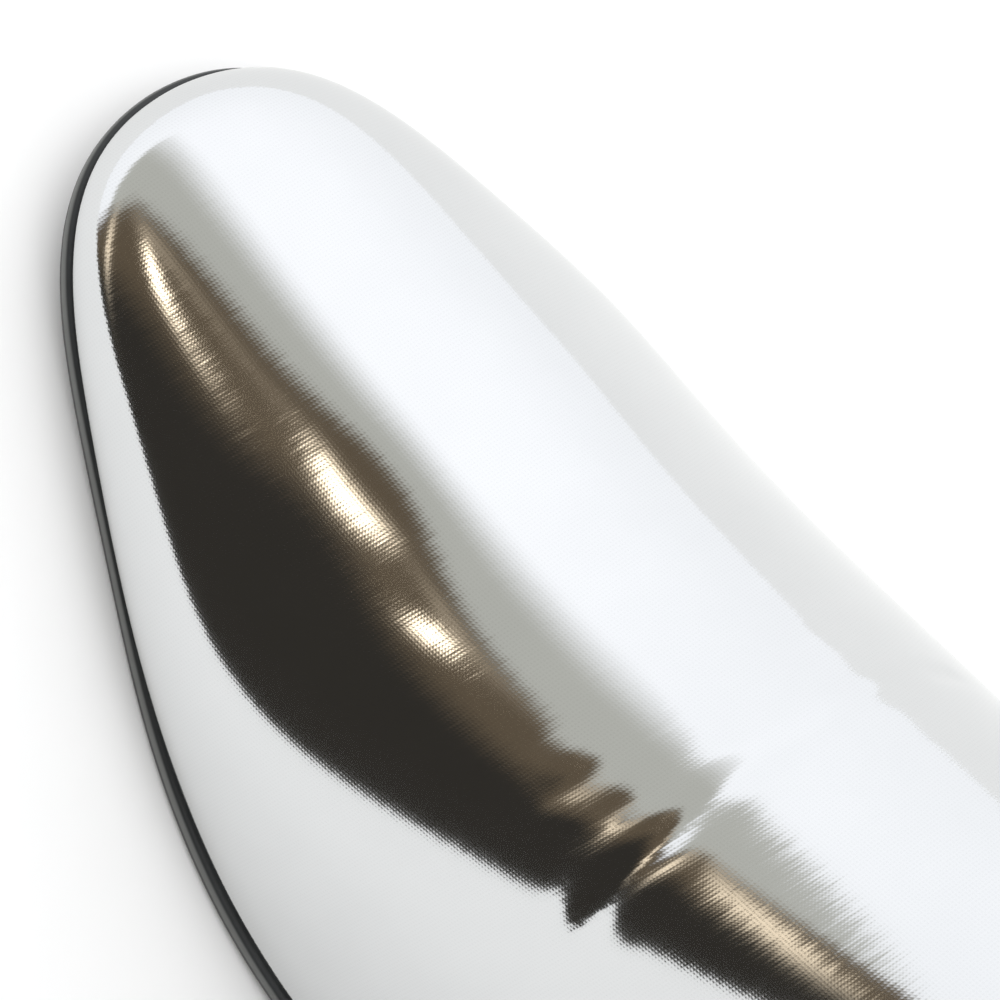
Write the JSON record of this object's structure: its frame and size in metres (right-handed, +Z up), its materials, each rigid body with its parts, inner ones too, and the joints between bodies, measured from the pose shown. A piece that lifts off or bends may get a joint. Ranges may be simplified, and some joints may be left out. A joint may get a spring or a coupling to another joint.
{
  "type": "ankle boot",
  "caption": "Left dress ankle boot with a mirror-bright silver upper, almond toe, thin sole, block heel and inside zip with a sliding, hinged pull.",
  "frame": {"origin": "centre of the heel's tread, on the floor that the boot stands on", "axes": "+Z up, +X along the boot to the toe, +Y to the outer side of the foot (the boot is a left one)"},
  "size_m": [0.2614, 0.0934, 0.1896],
  "materials": {
    "foil_leather": "mirror-bright silver foil laid on a finely woven face, in which the weave shows as rows of fine dots",
    "stiffener_felt": "matt stiffened felt",
    "lining_leather": "soft matt dark grey lining leather",
    "foam_pad": "matt covered foam",
    "fibre_board": "pressed fibre board",
    "spring_steel": "plain steel",
    "sole_rubber": "smooth black with a satin edge",
    "wrapped_heel": "plastic block wrapped in the upper's silver foil leather",
    "tread_rubber": "hard matt black",
    "zip_tape": "grey woven tape",
    "zip_metal": "bright nickel-coloured metal",
    "slider_metal": "bright nickel plate"
  },
  "bodies": {
    "boot": {"vamp": "foil_leather", "quarter_outer": "foil_leather", "quarter_inner": "foil_leather", "back_strip": "foil_leather", "toe_puff": "stiffener_felt", "heel_counter": "stiffener_felt", "vamp_lining": "lining_leather", "quarter_lining": "lining_leather", "sock_lining": "lining_leather", "heel_pad": "foam_pad", "insole_board": "fibre_board", "bottom_filler": "fibre_board", "shank": "spring_steel", "shank_rivet_1": "spring_steel", "shank_rivet_2": "spring_steel", "outsole": "sole_rubber", "heel_block": "wrapped_heel", "heel_top_piece": "tread_rubber", "top_piece_pin_1": "spring_steel", "top_piece_pin_2": "spring_steel", "heel_screw": "spring_steel", "heel_nail_1": "spring_steel", "heel_nail_2": "spring_steel", "heel_nail_3": "spring_steel", "heel_nail_4": "spring_steel", "zip_tape_front": "zip_tape", "zip_tape_back": "zip_tape", "zip_teeth_front": "zip_metal", "zip_teeth_back": "zip_metal", "zip_stop_top_front": "zip_metal", "zip_stop_top_back": "zip_metal", "zip_stop_bottom": "zip_metal", "zip_guard": "lining_leather"},
    "slider": {"zip_slider": "slider_metal"},
    "pull": {"zip_pull": "slider_metal"}
  },
  "joints": [
    {"name": "zip_slide", "type": "slide", "parent": "boot", "child": "slider", "axis": [0, 0.1216, -0.9926], "range_m": [0, 0.066]},
    {"name": "zip_pull_hinge", "type": "hinge", "parent": "slider", "child": "pull", "pos_m": [0.018, -0.04483, 0.1711], "axis": [-1, 0, 0], "range_deg": [-5, 150]}
  ]
}
